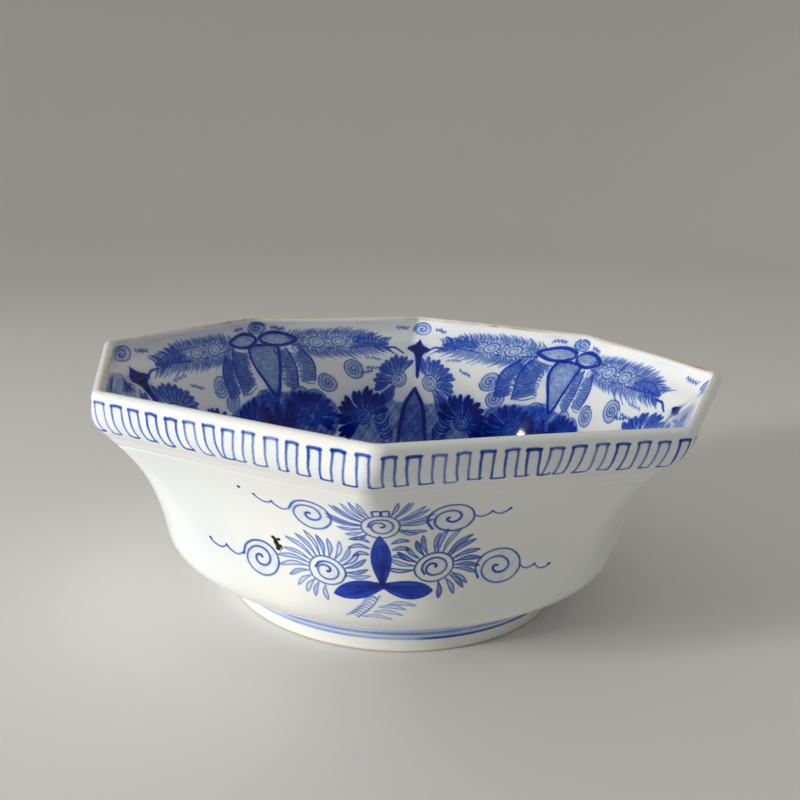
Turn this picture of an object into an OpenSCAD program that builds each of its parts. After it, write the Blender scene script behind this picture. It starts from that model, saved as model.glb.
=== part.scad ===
// Octagonal serving bowl in porcelain: an upright collar with eight corners, a wall that
// draws in below it and softens from eight sides to a circle, a round floor and a foot ring.
// The origin is the middle of the plane that the foot rests on, with +Z up. Corners of the
// mouth lie on the X and Y axes and halfway between them.

/* [Mouth] */
// Width of the mouth from corner to corner
mouth_across = 235; // [225:1:245]
// Height from the resting plane to the top of the rim
bowl_h = 87; // [83:1:95]
// Thickness of the rim, which has a full round on top
rim_t = 3.9; // [3:0.1:5]
// Radius of each corner of the mouth, seen from above
corner_r = 7; // [6:0.5:12]

/* [Collar] */
// Height of the collar, from its shoulder to the top of the rim
collar_h = 14.5; // [12:0.5:17]
// Distance that the shoulder lies inside the rim
shoulder_in = 6.2; // [5:0.1:8]

/* [Wall] */
// Distance that the waist lies inside the rim
waist_in = 20.5; // [18:0.5:23]
// Height of the waist above the resting plane
waist_h = 42; // [39:1:46]
// Radius at which the wall turns under and meets the floor
turn_r = 78; // [76:0.5:79.5]
// Height at which the wall turns under and meets the floor
turn_h = 17.5; // [16:0.5:19]
// Thickness of the wall where it meets the floor
wall_t = 5.5; // [4.5:0.1:6]

/* [Floor] */
// Thickness of the floor in the middle of the bowl
floor_t = 6; // [5:0.5:8]
// Radius of the flat middle of the floor
flat_r = 58; // [50:1:60]

/* [Foot] */
// Outer diameter of the foot ring where it joins the floor
foot_d = 132; // [126:1:136]
// Height of the foot ring
foot_h = 9; // [8:0.5:10]
// Width of the foot ring where it joins the floor
foot_w = 7; // [6:0.5:8]
// Distance that each side of the foot ring leans in towards its resting edge
foot_lean = 1.2; // [0.5:0.1:1.5]
// Radius of the two edges of the resting face
foot_edge = 1; // [0.6:0.1:1.2]

/* [Smoothness] */
// Sections along the collar
collar_steps = 8; // [6:1:12]
// Sections along each half of the wall
wall_steps = 9; // [6:1:12]
// Points round each corner
corner_steps = 7; // [5:1:9]

/* [Hidden] */

porcelain = "#ecefe9";
biscuit = "#e9e0d0";

half_side = 180 / 8;
mouth_apothem = (mouth_across / 2 - corner_r) * cos(half_side) + corner_r;
rim_r = rim_t / 2;
round_fn = 160;
rim_arc_steps = 6;
edge_arc_steps = 4;
floor_steps = 8;

// A corner's arc stops this far short of the middle of each side's direction, so that
// two corners never share a point where the section is a circle.
arc_half = half_side - 2.5;

// How quickly the corners soften down the wall: 1 is even, and more keeps them longer.
softening = 1.35;

// The directions that the outer profile runs in at its joints, going down the bowl.
shoulder_dir = -128;
waist_dir = -103;
turn_dir = -145;

// The joints of the outer profile, as [distance from the axis to a side, height].
rim_edge = [mouth_apothem, bowl_h - rim_r];
shoulder = [mouth_apothem - shoulder_in, bowl_h - collar_h];
waist = [mouth_apothem - waist_in, waist_h];
turn = [turn_r, turn_h];

function heading(angle) = [cos(angle), sin(angle)];
function outward(v) = [-v.y, v.x] / norm(v);

function curve_at(c, t) =
    pow(1 - t, 3) * c[0] + 3 * pow(1 - t, 2) * t * c[1]
    + 3 * (1 - t) * t * t * c[2] + pow(t, 3) * c[3];
function curve_run(c, t) =
    3 * pow(1 - t, 2) * (c[1] - c[0]) + 6 * (1 - t) * t * (c[2] - c[1])
    + 3 * t * t * (c[3] - c[2]);

// The three curves of the outer profile, from the rim down to where the floor begins.
collar_curve = [
    rim_edge,
    rim_edge - [0.4, collar_h * 0.62],
    shoulder - 3.6 * heading(shoulder_dir),
    shoulder
];
upper_curve = [
    shoulder,
    shoulder + 14 * heading(shoulder_dir),
    waist - 13.5 * heading(waist_dir),
    waist
];
lower_curve = [
    waist,
    waist + 14 * heading(waist_dir),
    turn - 12 * heading(turn_dir),
    turn
];

// Wall thickness and corner radius follow the height on the outer face.
function thickness(z) =
    wall_t + (rim_t - wall_t) * (z - turn_h) / (rim_edge.y - turn_h);
function corner_radius(apothem, z) =
    let (down = min(max((shoulder.y - z) / (shoulder.y - turn_h), 0), 1))
    corner_r + (apothem - corner_r) * pow(down, softening);

// A section is [apothem, height, corner radius]. The inner one lies a wall's thickness
// inside the outer one, square to the outer face.
function outer_section(c, t) =
    let (p = curve_at(c, t))
    [p.x, p.y, corner_radius(p.x, p.y)];
function inner_section(c, t) =
    let (
        p = curve_at(c, t),
        inset = outward(curve_run(c, t)) * thickness(p.y)
    )
    [p.x - inset.x, p.y - inset.y, corner_radius(p.x, p.y) - inset.x];
function rim_section(angle) =
    let (p = rim_edge - [rim_r, 0] + rim_r * heading(angle))
    [p.x, p.y, corner_r - rim_r + rim_r * cos(angle)];

function down_outside(c, steps) = [for (i = [0:steps]) outer_section(c, i / steps)];
function up_inside(c, steps) = [for (i = [steps:-1:0]) inner_section(c, i / steps)];
function over_rim() = [
    for (i = [1:rim_arc_steps - 1]) rim_section(180 - 180 * i / rim_arc_steps)
];
function but_first(list) = [for (i = [1:len(list) - 1]) list[i]];

// The points of one section: an octagon with rounded corners, or a circle where the
// corner radius reaches the apothem.
function section_points(s) = [
    for (corner = [0:7], i = [0:corner_steps])
        let (
            way = 45 * corner,
            normal = way - arc_half + 2 * arc_half * i / corner_steps,
            reach = (s[0] - s[2]) / cos(half_side)
        )
        [
            reach * cos(way) + s[2] * cos(normal),
            reach * sin(way) + s[2] * sin(normal),
            s[1]
        ]
];

// A closed ring whose cross-section runs through the listed sections.
module ring_through(sections) {
    around = 8 * (corner_steps + 1);
    count = len(sections);
    polyhedron(
        points = [for (s = sections) each section_points(s)],
        faces = [
            for (i = [0:count - 1], j = [0:around - 1])
                let (
                    here = i * around,
                    next = (i + 1) % count * around,
                    k = (j + 1) % around
                )
                each [
                    [here + j, next + j, next + k],
                    [here + j, next + k, here + k]
                ]
        ],
        convexity = 6
    );
}

// The upright collar, with its rounded rim on top and its shoulder at the bottom.
module rim_collar() {
    color(porcelain)
        ring_through(concat(
            down_outside(collar_curve, collar_steps),
            up_inside(collar_curve, collar_steps),
            over_rim()
        ));
}

// The wall below the collar, as far as the circle where it turns under.
module bowl_wall() {
    color(porcelain)
        ring_through(concat(
            down_outside(upper_curve, wall_steps),
            but_first(down_outside(lower_curve, wall_steps)),
            up_inside(lower_curve, wall_steps),
            but_first(up_inside(upper_curve, wall_steps))
        ));
}

// The round floor. Its sloping edge meets the wall, and the flat underside is level with
// the top of the foot ring.
module bowl_floor() {
    wall_inside = inner_section(lower_curve, 1);
    inner_edge = [wall_inside[0], wall_inside[1]];
    top_z = foot_h + floor_t;
    rise_curve = [
        [flat_r, top_z],
        [flat_r + 6, top_z],
        inner_edge + 6 * heading(turn_dir),
        inner_edge
    ];
    color(porcelain)
        rotate_extrude($fn = round_fn)
            polygon(concat(
                [[0, foot_h], [foot_d / 2, foot_h], turn],
                [for (i = [floor_steps:-1:0]) curve_at(rise_curve, i / floor_steps)],
                [[0, top_z]]
            ));
}

// The foot ring. Only its flat lower face touches the table, so it is bare of glaze.
module foot_ring() {
    outer_r = foot_d / 2;
    inner_r = outer_r - foot_w;
    out_centre = [outer_r - foot_lean - foot_edge, foot_edge];
    in_centre = [inner_r + foot_lean + foot_edge, foot_edge];
    color(biscuit)
        rotate_extrude($fn = round_fn)
            polygon(concat(
                [[inner_r, foot_h]],
                [
                    for (i = [0:edge_arc_steps])
                        in_centre + foot_edge * heading(180 + 90 * i / edge_arc_steps)
                ],
                [
                    for (i = [0:edge_arc_steps])
                        out_centre + foot_edge * heading(270 + 90 * i / edge_arc_steps)
                ],
                [[outer_r, foot_h]]
            ));
}

foot_ring();
bowl_floor();
bowl_wall();
rim_collar();
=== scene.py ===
"""An octagonal serving bowl in porcelain, painted in blue under a clear glaze.

Four closed pieces stand for the four nodes of the CAD model. Each has the CAD form, made
finer and a little uneven. The painting is drawn stroke by stroke in millimetres on the
surface, and kept as two numbers for each vertex: the blue pigment and the iron that lie
there. The glaze material turns both into colour.
"""

import math

import bpy
import numpy as np
from mathutils import Matrix, Vector


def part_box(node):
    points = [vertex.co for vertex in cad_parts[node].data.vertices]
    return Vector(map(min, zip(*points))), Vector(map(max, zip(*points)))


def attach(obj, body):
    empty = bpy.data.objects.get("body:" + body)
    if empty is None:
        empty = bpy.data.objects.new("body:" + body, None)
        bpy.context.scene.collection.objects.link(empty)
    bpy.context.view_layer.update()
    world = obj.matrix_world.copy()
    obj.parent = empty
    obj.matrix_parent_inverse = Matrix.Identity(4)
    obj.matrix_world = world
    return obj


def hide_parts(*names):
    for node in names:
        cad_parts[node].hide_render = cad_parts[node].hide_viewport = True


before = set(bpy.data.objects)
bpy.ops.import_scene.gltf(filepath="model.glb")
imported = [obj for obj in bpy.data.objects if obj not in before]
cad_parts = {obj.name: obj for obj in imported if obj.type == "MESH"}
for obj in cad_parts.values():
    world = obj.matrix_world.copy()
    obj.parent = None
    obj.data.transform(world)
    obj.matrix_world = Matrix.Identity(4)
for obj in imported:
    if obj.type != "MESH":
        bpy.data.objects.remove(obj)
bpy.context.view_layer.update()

MM = 0.001


# -------- sizes, in millimetres

def node_box(node):
    """Lowest and highest corner of a CAD node, in millimetres."""
    low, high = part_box(node)
    return np.array(low) / MM, np.array(high) / MM


collar_low, collar_high = node_box("rim_collar")
floor_low, floor_high = node_box("bowl_floor")

BOWL_H, SHOULDER_Z = collar_high[2], collar_low[2]
TURN_R, FOOT_H = floor_high[0], floor_low[2]
FOOT_R = node_box("foot_ring")[1][0]

# These repeat the CAD model's own sizes.
CORNER_R = 7.0
RIM_T = 3.9
SHOULDER_IN = 6.2
WAIST_IN = 20.5
WAIST_Z = 42.0
TURN_Z = 17.5
WALL_T = 5.5
FLOOR_T = 6.0
FLAT_R = 58.0
FOOT_W = 7.0
FOOT_LEAN = 1.2
FOOT_EDGE = 1.0
SOFTENING = 1.35

# The directions that the outer profile runs in at its joints, in degrees.
SHOULDER_DIR = -128
WAIST_DIR = -103
TURN_DIR = -145

HALF_SIDE = math.radians(22.5)
APOTHEM = (collar_high[0] - CORNER_R) * math.cos(HALF_SIDE) + CORNER_R


# -------- profile of the bowl

def heading(degrees):
    angle = math.radians(degrees)
    return np.array([math.cos(angle), math.sin(angle)])


def left_of(direction):
    return np.array([-direction[1], direction[0]])


RIM_EDGE = np.array([APOTHEM, BOWL_H - RIM_T / 2])
SHOULDER = np.array([APOTHEM - SHOULDER_IN, SHOULDER_Z])
WAIST = np.array([APOTHEM - WAIST_IN, WAIST_Z])
TURN = np.array([TURN_R, TURN_Z])

# Three curves run down the outer face, each as its two ends and two handles.
COLLAR_CURVE = [
    RIM_EDGE, RIM_EDGE - [0.4, (BOWL_H - SHOULDER_Z) * 0.62],
    SHOULDER - 3.6 * heading(SHOULDER_DIR), SHOULDER,
]
UPPER_CURVE = [
    SHOULDER, SHOULDER + 14 * heading(SHOULDER_DIR), WAIST - 13.5 * heading(WAIST_DIR), WAIST,
]
LOWER_CURVE = [
    WAIST, WAIST + 14 * heading(WAIST_DIR), TURN - 12 * heading(TURN_DIR), TURN,
]


def curve_at(curve, t):
    a, b, c, d = curve
    t = t[:, None]
    return (1 - t) ** 3 * a + 3 * (1 - t) ** 2 * t * b + 3 * (1 - t) * t**2 * c + t**3 * d


def curve_run(curve, t):
    a, b, c, d = curve
    t = t[:, None]
    return 3 * (1 - t) ** 2 * (b - a) + 6 * (1 - t) * t * (c - b) + 3 * t**2 * (d - c)


def thickness(z):
    return WALL_T + (RIM_T - WALL_T) * (z - TURN_Z) / (RIM_EDGE[1] - TURN_Z)


def corner_radius(apothem, z):
    down = np.clip((SHOULDER_Z - z) / (SHOULDER_Z - TURN_Z), 0, 1)
    return CORNER_R + (apothem - CORNER_R) * down**SOFTENING


STEPS = np.linspace(0, 1, 400)


def outer_sections(curve):
    """Sections down the outer face: distance from the axis to a side, height, corner radius."""
    p = curve_at(curve, STEPS)
    return np.column_stack([p, corner_radius(p[:, 0], p[:, 1])])


def inner_sections(curve):
    """Sections up the inner face, a wall's thickness inside the outer one."""
    p = curve_at(curve, STEPS)
    run = curve_run(curve, STEPS)
    normal = np.column_stack([-run[:, 1], run[:, 0]]) / np.linalg.norm(run, axis=1)[:, None]
    inset = normal * thickness(p[:, 1])[:, None]
    radius = corner_radius(p[:, 0], p[:, 1]) - inset[:, 0]
    return np.column_stack([p - inset, radius])[::-1]


def rim_sections():
    """Sections over the half-round rim, from its inner side to its outer side."""
    angle = np.linspace(math.pi, 0, 60)
    r = RIM_T / 2
    across, up = r * np.cos(angle), r * np.sin(angle)
    return np.column_stack([RIM_EDGE[0] - r + across, RIM_EDGE[1] + up, CORNER_R - r + across])


def spaced(sections, step):
    """The same run of sections, cut again at an even step along the profile."""
    gaps = np.hypot(*np.diff(sections[:, :2], axis=0).T)
    sections = sections[np.append(True, gaps > 1e-6)]
    along = np.append(0, np.cumsum(np.hypot(*np.diff(sections[:, :2], axis=0).T)))
    at = np.linspace(0, along[-1], max(2, int(round(along[-1] / step)) + 1))
    return np.column_stack([np.interp(at, along, column) for column in sections.T]), at


# -------- surfaces

class Surface:
    """A grid of points round the bowl. ways holds each column's direction in eighths of a
    turn, so that corner 1 lies at 1. half is half a side's width at each row."""

    def __init__(self, sections, step, ways):
        self.rows, self.along = spaced(sections, step)
        self.ways = ways
        apothem, z, radius = (column[:, None] for column in self.rows.T)
        arc = radius * HALF_SIDE
        self.half = (apothem - radius) * math.tan(HALF_SIDE) + arc
        off = ways - np.round(ways)
        run = np.abs(off) * 2 * self.half
        on_arc = np.minimum(run, arc)
        way = np.round(ways) * 2 * HALF_SIDE
        normal = way + np.sign(off) * on_arc / np.maximum(radius, 1e-6)
        side = np.sign(off) * (run - on_arc)
        reach = (apothem - radius) / math.cos(HALF_SIDE)
        x = reach * np.cos(way) + radius * np.cos(normal) - side * np.sin(normal)
        y = reach * np.sin(way) + radius * np.sin(normal) + side * np.cos(normal)
        self.points = np.stack([x, y, np.broadcast_to(z, x.shape)], axis=-1)
        self.pigment, self.iron = np.zeros(x.shape), np.zeros(x.shape)


def even_ways(count):
    return np.arange(count) * 8.0 / count


def lathe(points):
    """Round sections, whose corner radius equals their distance from the axis."""
    points = np.array(points, float)
    return np.column_stack([points, points[:, 0]])


# -------- unevenness

def eased(z, heights, values):
    """A value that runs smoothly from one height's value to the next one's."""
    place = np.interp(z, heights, np.arange(len(heights)))
    whole = np.minimum(place.astype(int), len(heights) - 2)
    part = place - whole
    part = part * part * (3 - 2 * part)
    values = np.array(values)
    return values[whole] * (1 - part) + values[whole + 1] * part


# The body slumped a little to one side of the rim in the kiln.
SLUMP_Z = [0.0, 17.5, 72.5, 87.0]
SLUMP_X = [-0.6, -1.2, -1.2, 1.2]
SLUMP_Y = [1.6, -0.9, -0.9, 0.0]

# Shallow lines that the potter's tool left under the collar: height, wave and depth.
TOOL_LINES = [(70.9, 0.5, 0.13), (69.8, 0.7, 0.16), (68.9, 0.6, 0.13), (67.6, 0.8, 0.15)]
TOOL_LINE_WIDTH = 0.35


def tool_marks(angle, z):
    """How far the tool lines lie under the surface round them."""
    depth = np.zeros(z.shape)
    for turn, (height, wave, cut) in enumerate(TOOL_LINES):
        line = height + wave * np.sin(3 * angle + 1.3 * turn) + 0.2 * np.sin(11 * angle + turn)
        fade = np.clip(0.6 + 0.6 * np.sin(2 * angle + 0.9 * turn), 0, 1)
        depth += cut * fade * np.exp(-((z - line) / TOOL_LINE_WIDTH) ** 2)
    return depth


def hand_finished(points):
    """The slow unevenness of a pot that was pressed, trimmed and fired."""
    x, y, z = points[..., 0], points[..., 1], points[..., 2]
    angle = np.arctan2(y, x)
    lift = np.clip(z / BOWL_H, 0, 1)
    out = 1 + lift * (0.0012 * np.sin(2 * angle + 0.7) + 0.0010 * np.sin(3 * angle + 2.1))
    out -= tool_marks(angle, z) / TURN_R
    sag = lift**2 * (0.20 * np.sin(2 * angle - 0.4) + 0.15 * np.sin(5 * angle + 1.0))
    x = x * out + eased(z, SLUMP_Z, SLUMP_X)
    y = y * out + eased(z, SLUMP_Z, SLUMP_Y)
    return np.stack([x, y, z + sag], axis=-1)


# -------- meshes

# Which rows of a surface a grid takes.
WHOLE, TRIMMED, REVERSED = slice(None), slice(1, -1), slice(None, None, -1)


class Skin:
    """Gathers grids, and the strips that join them, into one closed mesh. A ring is one row
    of a grid, as its indices and ways."""

    def __init__(self):
        self.laid, self.quads, self.triangles, self.sharp = [], [], [], []
        self.count = 0

    def lay(self, points, pigment, iron):
        self.laid.append((points, pigment, iron))
        self.count += len(points)

    def add(self, *parts):
        """Adds one grid from the chosen rows of each surface, which share their columns, and
        returns its first and last rings."""
        points, pigment, iron = (
            np.concatenate([getattr(surface, field)[rows] for surface, rows in parts])
            for field in ("points", "pigment", "iron")
        )
        index = self.count + np.arange(iron.size).reshape(iron.shape)
        here, below = index[:-1], index[1:]
        corners = [here, below, np.roll(below, -1, 1), np.roll(here, -1, 1)]
        self.quads.append(np.stack(corners, axis=-1).reshape(-1, 4))
        self.lay(points.reshape(-1, 3), pigment.ravel(), iron.ravel())
        ways = parts[0][0].ways
        return (index[0], ways), (index[-1], ways)

    def join(self, upper, lower, sharp=False):
        """A strip of triangles from one ring to the next, which may have other ways."""
        (a, way_a), (b, way_b) = upper, lower
        keys = np.concatenate([way_a[1:], [8.0], way_b[1:], [8.0]])
        from_a = (np.arange(len(keys)) < len(a))[np.argsort(keys, kind="stable")]
        at_a = np.cumsum(from_a) - from_a
        at_b = np.cumsum(~from_a) - ~from_a
        third = np.where(from_a, a[(at_a + 1) % len(a)], b[(at_b + 1) % len(b)])
        self.triangles.append(np.stack([a[at_a % len(a)], b[at_b % len(b)], third], axis=-1))
        if sharp:
            self.sharp += [a, b]

    def cap(self, ring, height, up):
        """Closes a ring with a fan to one point on the axis."""
        pair = (ring[0], np.roll(ring[0], -1))
        hub = np.full(len(ring[0]), self.count)
        self.lay(np.array([[0.0, 0.0, height]]), np.zeros(1), np.zeros(1))
        self.triangles.append(np.stack([hub, *(pair if up else pair[::-1])], axis=-1))

    def build(self, name):
        points, pigment, iron = (np.concatenate(parts) for parts in zip(*self.laid))
        points = hand_finished(points) * MM
        quads, triangles = np.concatenate(self.quads), np.concatenate(self.triangles)
        loops = np.append(quads.ravel(), triangles.ravel())
        starts = np.append(np.arange(len(quads)) * 4, quads.size + np.arange(len(triangles)) * 3)
        mesh = bpy.data.meshes.new(name)
        for part, count, field, values in (
            (mesh.vertices, len(points), "co", points.ravel().astype(np.float32)),
            (mesh.loops, len(loops), "vertex_index", loops.astype(np.int32)),
            (mesh.polygons, len(starts), "loop_start", starts.astype(np.int32)),
        ):
            part.add(count)
            part.foreach_set(field, values)
        mesh.update(calc_edges=True)
        mesh.polygons.foreach_set("use_smooth", np.ones(len(starts), bool))
        self.mark_sharp(mesh)
        for label, values in (("pigment", pigment), ("iron", iron)):
            layer = mesh.attributes.new(label, "FLOAT", "POINT")
            layer.data.foreach_set("value", values.astype(np.float32))
        mesh.validate()
        return linked(name, mesh)

    def mark_sharp(self, mesh):
        """The rings where a hidden face meets the glazed one are sharp edges."""
        marks = np.zeros(self.count, int)
        for label, ring in enumerate(self.sharp, 1):
            marks[ring] = label
        ends = np.zeros(len(mesh.edges) * 2, np.int32)
        mesh.edges.foreach_get("vertices", ends)
        one, other = marks[ends[0::2]], marks[ends[1::2]]
        layer = mesh.attributes.new("sharp_edge", "BOOLEAN", "EDGE")
        layer.data.foreach_set("value", (one > 0) & (one == other))


def linked(name, data):
    """A new object in the scene that holds the data."""
    made = bpy.data.objects.new(name, data)
    bpy.context.scene.collection.objects.link(made)
    return made


COARSE = 1.0
OUTER_WAYS = even_ways(int(8 * round(270 / COARSE)))
INNER_WAYS = even_ways(int(8 * round(200 / COARSE)))
FOOT_WAYS = even_ways(int(8 * round(90 / COARSE)))
OUTER_STEP = 0.28 * COARSE
INNER_STEP = 0.4 * COARSE

collar_inside = Surface(inner_sections(COLLAR_CURVE), INNER_STEP, OUTER_WAYS)
collar_rim = Surface(rim_sections(), 0.4 * COARSE, OUTER_WAYS)
collar_outside = Surface(outer_sections(COLLAR_CURVE), OUTER_STEP, OUTER_WAYS)
wall_outside = Surface(
    np.concatenate([outer_sections(UPPER_CURVE), outer_sections(LOWER_CURVE)]),
    OUTER_STEP, OUTER_WAYS,
)
wall_inside = Surface(
    np.concatenate([inner_sections(LOWER_CURVE), inner_sections(UPPER_CURVE)]),
    INNER_STEP, INNER_WAYS,
)

# The inside of the floor runs from the foot of the wall to the middle, with half as many
# columns each time the radius has halved.
FLOOR_TOP = FOOT_H + FLOOR_T
WALL_FOOT = wall_inside.rows[0][:2]
rise = curve_at([
    np.array([FLAT_R, FLOOR_TOP]),
    np.array([FLAT_R + 6, FLOOR_TOP]),
    WALL_FOOT + 6 * heading(TURN_DIR),
    WALL_FOOT,
], np.linspace(1, 0, 60))
floor_inside = [Surface(lathe(rise), INNER_STEP, INNER_WAYS)]
for halving in range(4):
    outer = FLAT_R / 2**halving
    floor_inside.append(Surface(
        lathe([[outer, FLOOR_TOP], [outer / 2, FLOOR_TOP]]),
        INNER_STEP, even_ways(len(INNER_WAYS) // 2 ** (halving + 1)),
    ))

# The foot ring, with two rounded lower edges and a flat resting face.
OUT_CENTRE = np.array([FOOT_R - FOOT_LEAN - FOOT_EDGE, FOOT_EDGE])
IN_CENTRE = np.array([FOOT_R - FOOT_W + FOOT_LEAN + FOOT_EDGE, FOOT_EDGE])
foot_surface = Surface(lathe(
    [[FOOT_R, FOOT_H]]
    + [OUT_CENTRE + FOOT_EDGE * heading(degrees) for degrees in range(0, -91, -10)]
    + [IN_CENTRE + FOOT_EDGE * heading(degrees) for degrees in range(-90, -181, -10)]
    + [[FOOT_R - FOOT_W, FOOT_H]]
), 0.25 * COARSE, even_ways(8 * int(180 / COARSE)))


# -------- brush

rng = np.random.default_rng(41)

EDGE = 0.3      # millimetres over which the edge of a stroke fades
OVERLAP = 0.4   # share of the thinner of two strokes that adds to the thicker one
FULL_INK = 1.3  # ink that a further stroke no longer darkens


def add_ink(grid, window, above):
    """Lays ink over what is there. Ink below 0 wipes that share of it away instead."""
    below = grid[window]
    thick, thin = np.maximum(below, above), np.minimum(below, above)
    both = thick + OVERLAP * thin * np.clip(1 - thick / FULL_INK, 0, 1)
    grid[window] = np.where(above < 0, below * (1 + above), both)


class Chart:
    """A flat map of the surface round one corner, in millimetres. x runs to the right of
    the corner's line, and y runs up the profile. parts holds each surface with the y of
    each of its rows. facing is 1 outside the bowl and -1 inside it."""

    def __init__(self, parts, corner, facing, shift=0.0):
        self.shift = shift
        self.parts = [
            (surface, heights, facing * ((surface.ways - corner + 4) % 8 - 4), surface.half)
            for surface, heights in parts
        ]

    def lay(self, path, margin, ink_at, layer="pigment"):
        """Adds what ink_at(x, y) gives to every grid point in the box round a path."""
        low, high = path.min(axis=0) - margin, path.max(axis=0) + margin
        for surface, heights, away, half in self.parts:
            rows = np.flatnonzero((heights >= low[1]) & (heights <= high[1]))
            if not len(rows):
                continue
            ends = half[rows[[0, -1]]] * 2 * away - self.shift
            columns = np.flatnonzero(((ends >= low[0]) & (ends <= high[0])).any(axis=0))
            if not len(columns):
                continue
            x = half[rows] * 2 * away[columns] - self.shift
            y = np.broadcast_to(heights[rows][:, None], x.shape)
            add_ink(getattr(surface, layer), np.ix_(rows, columns), ink_at(x, y))


class Disc:
    """A flat map of the bowl's floor as seen from above, with the axis at its origin."""

    def lay(self, path, margin, ink_at, layer="pigment"):
        low, high = path.min(axis=0) - margin, path.max(axis=0) + margin
        for surface in floor_inside:
            x, y = surface.points[..., 0], surface.points[..., 1]
            window = (x >= low[0]) & (x <= high[0]) & (y >= low[1]) & (y <= high[1])
            if window.any():
                add_ink(getattr(surface, layer), window, ink_at(x[window], y[window]))


def through(points, gap=0.6):
    """A smooth run of points through the given ones."""
    points = np.array(points, float)
    padded = np.vstack([2 * points[0] - points[1], points, 2 * points[-1] - points[-2]])
    run = []
    for a, b, c, d in zip(padded, padded[1:], padded[2:], padded[3:]):
        count = max(2, int(np.hypot(*(c - b)) / gap) + 1)
        t = np.linspace(0, 1, count, endpoint=False)[:, None]
        run.append(0.5 * (2 * b + (c - a) * t + (2 * a - 5 * b + 4 * c - d) * t**2
                          + (3 * b - a - 3 * c + d) * t**3))
    run.append(points[-1:])
    return np.vstack(run)


def nearest(x, y, path, width):
    """How far each point lies outside a stroke of changing width, and where along it."""
    a, b = path[:-1], path[1:]
    step = b - a
    length = (step**2).sum(axis=1) + 1e-9
    rx = x[..., None] - a[:, 0]
    ry = y[..., None] - a[:, 1]
    t = np.clip((rx * step[:, 0] + ry * step[:, 1]) / length, 0, 1)
    gap = np.hypot(rx - t * step[:, 0], ry - t * step[:, 1])
    outside = gap - (width[:-1] + t * (width[1:] - width[:-1])) / 2
    best = outside.argmin(axis=-1)[..., None]
    place = (best + np.take_along_axis(t, best, -1))[..., 0]
    return np.take_along_axis(outside, best, -1)[..., 0], place


def enclosed(x, y, edge):
    """True where a point lies inside a closed run of points."""
    a, b = edge[:-1], edge[1:]
    y = np.asarray(y)[..., None]
    straddles = (a[:, 1] > y) != (b[:, 1] > y)
    rise = np.where(np.abs(b[:, 1] - a[:, 1]) < 1e-9, 1e-9, b[:, 1] - a[:, 1])
    crossing = a[:, 0] + (y - a[:, 1]) / rise * (b[:, 0] - a[:, 0])
    return (straddles & (np.asarray(x)[..., None] < crossing)).sum(axis=-1) % 2 == 1


def covered(outside, softness=EDGE):
    return np.clip(0.5 - outside / softness, 0, 1)


def slow_noise(count):
    """Two columns of noise that changes over about six points."""
    knots = rng.standard_normal((max(3, count // 6 + 2), 2))
    at = np.linspace(0, len(knots) - 1, count)
    return np.column_stack([np.interp(at, np.arange(len(knots)), k) for k in knots.T])


def closed(outline):
    return list(outline) + [outline[0]]


def brush(chart, points, width=0.6, ink=0.6, press=(0.8, 1.0, 0.8), pool=(0.15, 0.1),
          wobble=0.06, layer="pigment"):
    """One brush line. press scales its width at the start, middle and end, and pool
    darkens the start and end, where the brush rests."""
    path = through(points)
    path = path + wobble * slow_noise(len(path))
    along = np.linspace(0, 1, len(path))
    widths = width * np.interp(along, [0, 0.5, 1], press)
    inks = ink * (1 + 0.07 * slow_noise(len(path))[:, 0]
                  + np.interp(along, [0, 0.15, 0.85, 1], [pool[0], 0, 0, pool[1]]))

    def ink_at(x, y):
        outside, place = nearest(x, y, path, widths)
        return covered(outside) * np.interp(place, np.arange(len(path)), inks)

    chart.lay(path, widths.max() / 2 + EDGE, ink_at, layer)


def blade(chart, points, width, fill, line, ink, widest=0.5, blunt=0.9, shade=0.0):
    """A leaf or petal along a centre line: a wash with a thin outline round it. blunt
    below 1 rounds its ends, and shade darkens the wash towards its far end."""
    path = through(points)
    along = np.linspace(0, 1, len(path))
    widths = width * np.sin(np.pi * along ** (math.log(0.5) / math.log(widest))) ** blunt
    wash = fill * (1 + shade * along) * (1 + 0.1 * slow_noise(len(path))[:, 0])

    def ink_at(x, y):
        outside, place = nearest(x, y, path, widths)
        washed = covered(outside) * np.interp(place, np.arange(len(path)), wash)
        return np.maximum(washed, covered(np.abs(outside) - line / 2) * ink)

    chart.lay(path, width / 2 + line + EDGE, ink_at)


def wash(chart, outline, ink, softness=0.6, mottle=0.12):
    """A patch of thin colour inside a closed outline, a little uneven."""
    edge = through(closed(outline), gap=1.0)
    thin = np.zeros(len(edge))
    phase = rng.uniform(0, 6, 3)

    def ink_at(x, y):
        outside, _ = nearest(x, y, edge, thin)
        outside = np.where(enclosed(x, y, edge), -outside, outside)
        uneven = np.sin(0.9 * x + phase[0]) * np.sin(0.7 * y + phase[1])
        uneven += 0.6 * np.sin(1.9 * x - 1.3 * y + phase[2])
        return covered(outside, softness) * ink * (1 + mottle * uneven)

    chart.lay(edge, softness + 0.2, ink_at)


def ring_mark(chart, place, radius, ink, line=0.32, layer="pigment"):
    """A small ring, or a dot where the radius is 0."""
    def ink_at(x, y):
        from_middle = np.hypot(x - place[0], y - place[1])
        return covered(np.abs(from_middle - radius) - line / 2) * ink

    chart.lay(np.array([place]), radius + line + EDGE, ink_at, layer)


def dot(chart, place, radius, ink, layer="pigment"):
    ring_mark(chart, place, 0.0, ink, 2 * radius, layer)


def leaning(centre, x, y, degrees):
    """Points at x and y from a centre, on axes that lean by degrees."""
    right = heading(degrees)
    return centre + np.outer(x, right) + np.outer(y, left_of(right))


def oval(centre, size, tilt=0.0, pinch=0.0):
    """Fourteen points round an oval that is tilted by degrees. pinch narrows one end."""
    angle = np.linspace(0, 2 * math.pi, 14, endpoint=False)
    side = np.clip(np.sign(pinch) * np.cos(angle), 0, 1)
    x, y = size[0] * np.cos(angle), size[1] * np.sin(angle) * (1 - abs(pinch) * side)
    return leaning(centre, x, y, tilt)


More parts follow.
